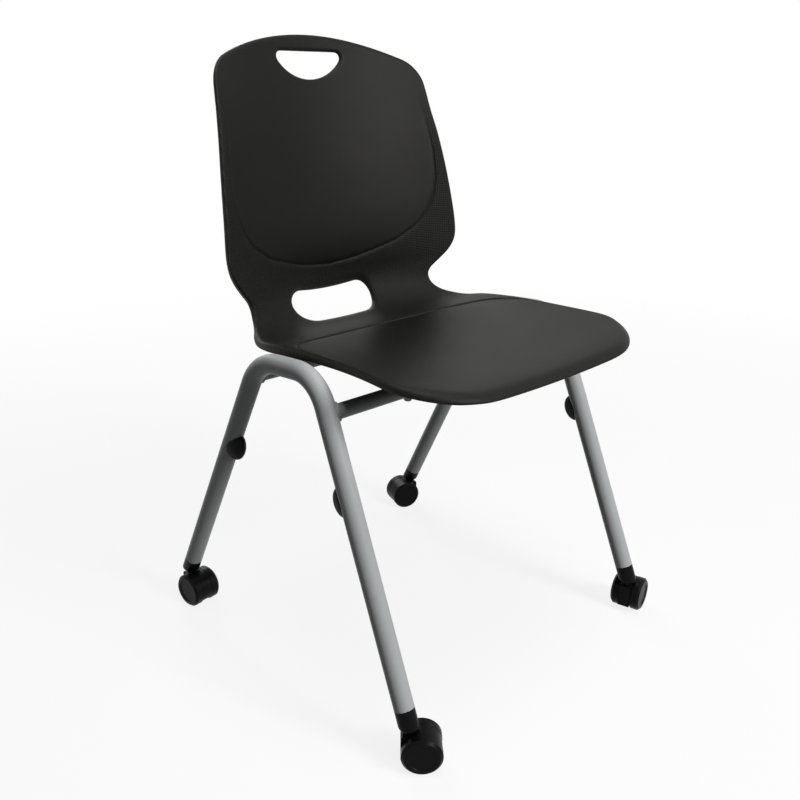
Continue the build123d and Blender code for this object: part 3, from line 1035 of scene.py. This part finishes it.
    def rounding_height(self, edge: Edge, flat: np.ndarray, deep: np.ndarray) -> np.ndarray:
        """Height of the upper rounding of an edge of a given depth, at flat places along it.

        Args:
            edge: which edge.
            flat: flat places along it.
            deep: depth of the edge at each place.

        Returns:
            A height for each place.
        """
        usual, full = self.rounding_fullness
        share = usual + (full - usual) * (self.frontness(flat) if edge is Edge.OUTER else 0.0)
        return np.minimum(share * self.rounding(edge, flat), self.rounding_limit * deep)

    def rim_sink(self, edge: Edge, flat: np.ndarray) -> np.ndarray:
        """Direction in Y and Z in which an edge of the shell turns under.

        Args:
            edge: which edge.
            flat: flat places along it.

        Returns:
            Unit directions, one row each.
        """
        _, edge_y, edge_z, mid_y, mid_z, _ = self.row(flat[:, 1]).T
        away = np.stack([mid_y - edge_y, mid_z - edge_z], axis=1)
        away /= np.linalg.norm(away, axis=1, keepdims=True)
        if edge is Edge.SLOT:
            tilt = math.radians(self.slot_tilt)
            away[:] = (math.sin(tilt), -math.cos(tilt))
        elif edge is Edge.OUTER:
            share = self.frontness(flat)[:, None]
            away = away * (1 - share) + np.array((0.0, -1.0)) * share
            away /= np.linalg.norm(away, axis=1, keepdims=True)
        return away

    def rim_depth(self, flat: np.ndarray) -> np.ndarray:
        """Depth of the turned rim at flat places."""
        return self.row(flat[:, 1])[:, 5]

    def build(self) -> bpy.types.Object:
        """Make the shell's mesh.

        Returns:
            The shell, with its flat places as UVs and its panels as an attribute.
        """
        loops = [
            (Edge.OUTER, self.outer_loop()),
            (Edge.HAND, self.hand_loop()),
            (Edge.SLOT, self.slot_loop()),
        ]
        panels = self.panels()
        bounds = [shifted(loop, self.inward(edge) * self.rounding(edge, loop)) for edge, loop in loops]
        edges, start = [], 0
        for bound in bounds:
            count = len(bound)
            edges += [(start + k, start + (k + 1) % count) for k in range(count)]
            start += count
        flat = self.filled(bounds, panels)
        found = delaunay_2d_cdt([Vector(p) for p in flat], edges, [], 1, self.merge_distance)
        flat = np.array([tuple(p) for p in found[0]])
        origin = {old: new for new, olds in enumerate(found[3]) for old in olds}
        triangles = np.array(found[2])
        middle = flat[triangles].mean(axis=1)
        keep = ~inside_of(middle, bounds[1]) & ~inside_of(middle, bounds[2])
        return self.assemble(flat, triangles[keep], loops, origin, panels)

    def filled(self, bounds: list[np.ndarray], panels: list[Panel]) -> np.ndarray:
        """Flat places of a face's points.

        Args:
            bounds: outlines of the face, the outer one first.
            panels: smooth fields, whose grooves are followed by lines of points.

        Returns:
            The outlines' points in their order, then the points between them.
        """
        rim = np.vstack(bounds)
        lines = np.vstack([shifted(panel.outline, gap) for panel in panels for gap in self.groove_lines])
        taken = KDTree(len(rim) + len(lines))
        for place in rim:
            taken.insert((*place, 0.0), 0)
        taken.balance()
        grooves = self.kept(lines, bounds)
        grooves = grooves[[taken.find((*p, 0.0))[2] > self.groove_gap for p in grooves]]
        for place in grooves:
            taken.insert((*place, 0.0), 0)
        taken.balance()
        box = zip(bounds[0].min(0), bounds[0].max(0))
        ranges = [np.arange(low, high, self.mesh_spacing) for low, high in box]
        grid = self.kept(np.stack(np.meshgrid(*ranges), axis=-1).reshape(-1, 2), bounds)
        grid = grid[[taken.find((*p, 0.0))[2] > self.mesh_gap for p in grid]]
        return np.vstack([rim, grooves, grid])

    def kept(self, places: np.ndarray, bounds: list[np.ndarray]) -> np.ndarray:
        """Places inside the shell's outline and outside its openings.

        Args:
            places: flat places to sort.
            bounds: outlines of the face, the outer one first.

        Returns:
            The places that lie on the face.
        """
        good = inside_of(places, bounds[0])
        for bound in bounds[1:]:
            good &= ~inside_of(places, bound)
        return places[good]

    def assemble(
        self,
        flat: np.ndarray,
        triangles: np.ndarray,
        loops: list[tuple[Edge, np.ndarray]],
        origin: dict[int, int],
        panels: list[Panel],
    ) -> bpy.types.Object:
        """Join the two faces of the shell by its rounded edges.

        Args:
            flat: flat places of a face's points.
            triangles: point numbers of its triangles.
            loops: each edge with its outline.
            origin: point number of each place that was given to the triangulation.
            panels: smooth fields of the upper face.

        Returns:
            The shell.
        """
        skin = Skin()
        sunk, inside = self.relief(flat, panels)
        skin.add(self.point(flat, sunk), flat, inside)
        under = skin.add(self.point(flat, self.thickness), flat, np.zeros(len(flat)))
        skin.faces += [tuple(corners) for corners in triangles.tolist()]
        skin.faces += [tuple(under[k] for k in corners[::-1]) for corners in triangles.tolist()]
        given = 0
        for edge, loop in loops:
            first = [origin[given + k] for k in range(len(loop))]
            given += len(loop)
            last = self.turn_edge(skin, edge, loop, first, inside[first])
            skin.band(last, [under[k] for k in first], self.inward(edge))
        for tube in self.boss_tubes:
            for x in (-self.boss_x, self.boss_x):
                self.add_boss(skin, x, tube)
        return skin.build("moulded_shell")

    def relief(self, flat: np.ndarray, panels: list[Panel]) -> tuple[np.ndarray, np.ndarray]:
        """Sunk fields and their grooves on the upper face.

        Args:
            flat: flat places.
            panels: smooth fields.

        Returns:
            How deep each place is sunk, and its share in a smooth field.
        """
        inside, sunk = np.zeros(len(flat)), np.zeros(len(flat))
        for panel in panels:
            sign = np.where(inside_of(flat, panel.outline), 1.0, -1.0)
            away = sign * distance_to(flat, panel.outline)
            share = step_up(-self.panel_blend, self.panel_blend, away)
            inside = np.maximum(inside, share)
            groove = self.groove_depth * np.exp(-((away / self.groove_reach) ** 2))
            fade = step_up(panel.fade_start, panel.fade_end, flat[:, 1])
            sunk += (share * panel.recess + groove) * (1 - fade)
        low, high = (self.at_height(0.0, z)[1] for z in self.grain_end)
        return sunk, np.maximum(inside, step_up(low, high, flat[:, 1]))

    def turn_edge(
        self, skin: Skin, edge: Edge, loop: np.ndarray, first: list[int], share: np.ndarray
    ) -> list[int]:
        """Turn an edge of the upper face round to the under face.

        Args:
            skin: the shell so far.
            edge: which edge.
            loop: its outline.
            first: numbers of the upper face's points along it.
            share: their shares in a smooth field.

        Returns:
            Numbers of the last ring's points.
        """
        sign, sink = self.inward(edge), self.rim_sink(edge, loop)
        deep = self.rim_depth(loop) - (0.0 if edge is Edge.OUTER else self.lip_step)
        soft, tall = self.rounding(edge, loop), self.rounding_height(edge, loop, deep)
        previous = first
        for part, inset, drop, fixed, whole in self.rim_rings():
            ring = shifted(loop, sign * (part * soft + inset))
            current = skin.add(self.point(ring, drop * tall + fixed + whole * deep, sink), ring, share)
            skin.band(previous, current, sign)
            previous = current
        return previous

    def add_boss(self, skin: Skin, x: float, tube: str) -> None:
        """Add a screw boss above a cross tube, closed at both ends.

        Args:
            skin: the shell so far.
            x: distance of the boss from the mid plane.
            tube: CAD node of the cross tube.
        """
        rings = self.boss_rings(x, tube)
        numbers = [skin.add(ring, ring[:, :2], np.ones(len(ring))) for ring in rings]
        skin.faces.append(tuple(numbers[0]))
        for near, far in zip(numbers, numbers[1:]):
            skin.band(near, far, 1.0)
        skin.faces.append(tuple(numbers[-1][::-1]))

    def boss_rings(self, x: float, tube: str) -> list[np.ndarray]:
        """Rings of a screw boss, from inside the shell down to its saddle on a cross tube.

        Args:
            x: distance of the boss from the mid plane.
            tube: CAD node of the cross tube.

        Returns:
            Points of each ring.
        """
        low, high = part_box(tube)
        middle, radius = (low + high) / 2, (high.z - low.z) / 2
        turns = np.linspace(0.0, 2 * math.pi, self.boss_spokes, endpoint=False)
        rings = []
        for flare, drop in self.boss_flares:
            across = x + flare * self.boss_radius * np.cos(turns)
            along = middle.y + flare * self.boss_radius * np.sin(turns)
            flat = np.array([self.at_depth(*place) for place in zip(across, along)])
            rings.append(np.column_stack([across, along, self.point(flat, self.thickness + drop)[:, 2]]))
        square = np.maximum(radius**2 - (rings[-1][:, 1] - middle.y) ** 2, (self.saddle_limit * radius) ** 2)
        saddle = middle.z + np.sqrt(square) + self.saddle_gap
        rings.append(np.column_stack([rings[-1][:, :2], saddle]))
        return rings

    @staticmethod
    def inward(edge: Edge) -> float:
        """Sign of the direction from an edge into the shell."""
        return 1.0 if edge is Edge.OUTER else -1.0

    def dress(self, made: bpy.types.Object, finish: ShellPlastic) -> None:
        """Give the shell its finish and its place in the part.

        Args:
            made: the shell's mesh.
            finish: its finish.
        """
        made.data.materials.append(finish.material())
        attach(made, Body.FRAME.value)
        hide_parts("seat_shell")


@dataclass
class StackingBumper:
    """Rubber dome on the inner side of a leg."""

    leg: Leg
    side: Side
    height: float = 0.304
    tube_radius: float = 0.0125
    half_length: float = 0.0195
    half_width: float = 0.0118
    stand: float = 0.0155
    seat_gap: float = 0.0001
    seat_rings: tuple[float, ...] = (0.66, 0.33)
    rings: int = 14
    spokes: int = 56

    def node(self) -> str:
        """Name of the CAD node that the dome stands for."""
        return f"{self.leg.name}_{self.side.name}_bumper".lower()

    def place(self) -> tuple[np.ndarray, np.ndarray]:
        """Where the dome sits.

        Returns:
            A point on the tube's centre line, and the directions along the tube, across it and outwards.
        """
        mirror = Vector((self.side.value, 1.0, 1.0))
        foot, top = (Vector(end) * mirror for end in self.leg.value)
        along = (top - foot).normalized()
        origin = foot + (top - foot) * ((self.height - foot.z) / (top.z - foot.z))
        inward = Vector((0.0, -math.copysign(1.0, origin.y), 0.0))
        outward = (inward - along * inward.dot(along)).normalized()
        return np.array(origin), np.array([along, outward.cross(along), outward])

    def build(self) -> bpy.types.Object:
        """Make the dome, seated on the round of the tube.

        Returns:
            The bumper.
        """
        origin, axes = self.place()
        turns = np.linspace(0.0, 2 * math.pi, self.spokes, endpoint=False)
        angles = np.linspace(0.0, math.pi / 2, self.rings + 1)[1:]
        rings = [(math.sin(angle), math.cos(angle)) for angle in angles]
        rings += [(reach, 0.0) for reach in self.seat_rings]
        points = [np.array([[0.0, 0.0, self.tube_radius + self.stand]])]
        for reach, lift in rings:
            along = self.half_length * reach * np.cos(turns)
            across = self.half_width * reach * np.sin(turns)
            seat = np.sqrt(self.tube_radius**2 - across**2) + self.seat_gap
            points.append(np.column_stack([along, across, seat + self.stand * lift]))
        points.append(np.array([[0.0, 0.0, self.tube_radius + self.seat_gap]]))
        size = self.spokes
        ahead = [(k, (k + 1) % size) for k in range(size)]
        starts = [1 + size * ring for ring in range(len(rings))]
        faces = [(0, 1 + k, 1 + n) for k, n in ahead]
        for near, far in zip(starts, starts[1:]):
            faces += [(near + k, far + k, far + n, near + n) for k, n in ahead]
        last = starts[-1]
        faces += [(last + size, last + n, last + k) for k, n in ahead]
        return mesh_object(f"{self.node()}_dome", origin + np.vstack(points) @ axes, faces)

    def dress(self, made: bpy.types.Object, finish: bpy.types.Material) -> None:
        """Give the bumper its finish and its place in the part.

        Args:
            made: the bumper's mesh.
            finish: its material.
        """
        made.data.materials.append(finish)
        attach(made, Body.FRAME.value)
        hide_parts(self.node())


@dataclass
class CadDressing:
    """Finishes of the CAD pieces that keep their own shape."""

    coat: PowderCoat = PowderCoat()
    zinc: ZincPlate = ZincPlate()
    rubber: DarkMoulding = DarkMoulding(
        name="bumper_rubber_finish",
        dark=(0.0040, 0.0041, 0.0040),
        light=(0.0080, 0.0082, 0.0080),
        rough=0.55,
        grain_scale=1400.0,
        grain_depth=0.00010,
    )
    wheel: DarkMoulding = DarkMoulding(
        name="wheel_nylon_finish",
        dark=(0.0018, 0.0019, 0.0018),
        light=(0.0045, 0.0047, 0.0045),
        rough=0.34,
        grain_scale=1800.0,
        grain_depth=0.00006,
    )
    nylon: DarkMoulding = DarkMoulding(
        name="black_nylon_finish",
        dark=(0.0018, 0.0019, 0.0018),
        light=(0.0045, 0.0047, 0.0045),
        rough=0.32,
        grain_scale=1800.0,
        grain_depth=0.00006,
    )

    def dress(self) -> dict[str, bpy.types.Material]:
        """Give each CAD node the finish of its material slot.

        Returns:
            The finish of each slot.
        """
        finishes = {
            Slot.COAT.value: self.coat.material(),
            Slot.ZINC.value: self.zinc.material(),
            Slot.RUBBER.value: self.rubber.material(),
            Slot.WHEEL.value: self.wheel.material(),
            Slot.NYLON.value: self.nylon.material(),
        }
        for part in frame["record"]["subparts"]:
            finish = finishes.get(part["material_slot"])
            if finish:
                mesh = frame["nodes"][part["node"]].data
                mesh.materials.clear()
                mesh.materials.append(finish)
                log.info("dressed %s", part["node"])
        return finishes


@dataclass(frozen=True)
class Lamp:
    """Soft square lamp, with its side in metres and its power in watts."""

    name: str
    place: tuple[float, float, float]
    target: tuple[float, float, float]
    size: float
    power: float

    def build(self) -> None:
        """Hang the lamp and turn it to its target."""
        data = bpy.data.lights.new(self.name, "AREA")
        data.size = self.size
        data.energy = self.power
        lamp = bpy.data.objects.new(self.name, data)
        lamp.location = self.place
        aim = Vector(self.target) - Vector(self.place)
        lamp.rotation_euler = aim.to_track_quat("-Z", "Y").to_euler()
        bpy.context.scene.collection.objects.link(lamp)


@dataclass
class Studio:
    """Floor, lights and the camera."""

    eye: tuple[float, float, float] = (-0.7848, -0.8027, 0.7575)
    azimuth: float = -43.57
    elevation: float = 20.63
    roll: float = 0.4
    focal_share: float = 847.6 / 800.0
    sensor: float = 36.0
    floor_size: float = 12.0
    floor_rough: float = 0.9
    floor_dark: tuple[float, float, float] = (0.12, 0.12, 0.12)
    floor_pale: tuple[float, float, float] = (0.75, 0.75, 0.75)
    glow_near: float = 0.84
    glow_rise: float = 0.16
    glow_start: float = 0.7
    glow_slope: float = 0.65
    soft_light: float = 0.035
    lamps: tuple[Lamp, ...] = (
        Lamp("key", place=(0.40, -2.45, 1.75), target=(0.0, 0.0, 0.35), size=0.8, power=66.0),
        Lamp("top", place=(0.0, -0.4, 3.0), target=(0.0, 0.0, 0.40), size=1.2, power=42.0),
        Lamp("rear", place=(0.9, 2.7, 1.7), target=(0.0, 0.0, 0.45), size=1.5, power=34.0),
    )

    def build(self) -> None:
        """Set up the whole studio."""
        self.camera()
        self.floor()
        self.world()
        for lamp in self.lamps:
            lamp.build()
        bpy.context.scene.view_settings.view_transform = "Standard"

    def camera(self) -> None:
        """Camera at the photograph's place and angle."""
        turn, tilt = math.radians(self.azimuth), math.radians(self.elevation)
        back = Vector((math.sin(turn) * math.cos(tilt), -math.cos(turn) * math.cos(tilt), math.sin(tilt)))
        right = Vector((math.cos(turn), math.sin(turn), 0.0))
        upward = back.cross(right)
        lean = math.radians(self.roll)
        across = right * math.cos(lean) + upward * math.sin(lean)
        upward = upward * math.cos(lean) - right * math.sin(lean)
        data = bpy.data.cameras.new("photo_camera")
        data.sensor_width = self.sensor
        data.lens = self.sensor * self.focal_share
        camera = bpy.data.objects.new("photo_camera", data)
        place = Matrix((across, upward, back)).transposed().to_4x4()
        place.translation = Vector(self.eye)
        camera.matrix_world = place
        bpy.context.scene.collection.objects.link(camera)
        bpy.context.scene.camera = camera

    def floor(self) -> None:
        """Pale floor that keeps the chair's shadow."""
        half = self.floor_size / 2
        corners = np.array([(-half, -half, 0.0), (half, -half, 0.0), (half, half, 0.0), (-half, half, 0.0)])
        made = mesh_object("studio_floor", corners, [(0, 1, 2, 3)])
        graph = Graph("studio_floor_finish")
        seen = graph.light_path(*SEEN_RAYS)
        length = graph.node("ShaderNodeVectorMath", {"operation": "LENGTH"}, {0: graph.place()})
        away = Sock(graph, length.outputs["Value"])
        share = self.glow_near + ((away - self.glow_start) * self.glow_slope).clipped() * self.glow_rise
        material = graph.finish(
            Base_Color=graph.mix(seen, self.floor_dark, self.floor_pale),
            Roughness=self.floor_rough,
            Specular_IOR_Level=0.0,
        )
        glow = graph.node("ShaderNodeEmission", {}, {"Color": WHITE, "Strength": 1.0})
        plain, lit = Sock(graph, graph.shader.outputs[0]), Sock(graph, glow.outputs[0])
        blend = graph.node("ShaderNodeMixShader", {}, {0: seen * share, 1: plain, 2: lit})
        graph.feed(graph.output, {"Surface": Sock(graph, blend.outputs[0])})
        made.data.materials.append(material)

    def world(self) -> None:
        """White surround for the camera and reflections, soft light for the rest."""
        world = bpy.data.worlds.new("studio_world")
        world.use_nodes = True
        nodes = Nodes(world.node_tree)
        seen = nodes.light_path(*SEEN_RAYS)
        dim = nodes.node("ShaderNodeBackground", {}, {"Color": WHITE, "Strength": self.soft_light})
        full = nodes.node("ShaderNodeBackground", {}, {"Color": WHITE, "Strength": 1.0})
        shades = {0: seen, 1: Sock(nodes, dim.outputs[0]), 2: Sock(nodes, full.outputs[0])}
        mix = nodes.node("ShaderNodeMixShader", {}, shades)
        nodes.node("ShaderNodeOutputWorld", {}, {"Surface": Sock(nodes, mix.outputs[0])})
        bpy.context.scene.world = world


def main() -> None:
    """Build each sub-assembly in turn and log each piece as it is made."""
    logging.basicConfig(level=logging.INFO, format="%(name)s: %(message)s")
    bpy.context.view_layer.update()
    shell = SeatShell()
    made = shell.build()
    shell.dress(made, ShellPlastic())
    log.info("built %s with %d points", made.name, len(made.data.vertices))
    finishes = CadDressing().dress()
    for side in Side:
        for leg in Leg:
            bumper = StackingBumper(leg, side)
            made = bumper.build()
            bumper.dress(made, finishes[Slot.RUBBER.value])
            log.info("built %s", made.name)
    Studio().build()


if __name__ == "__main__":
    main()
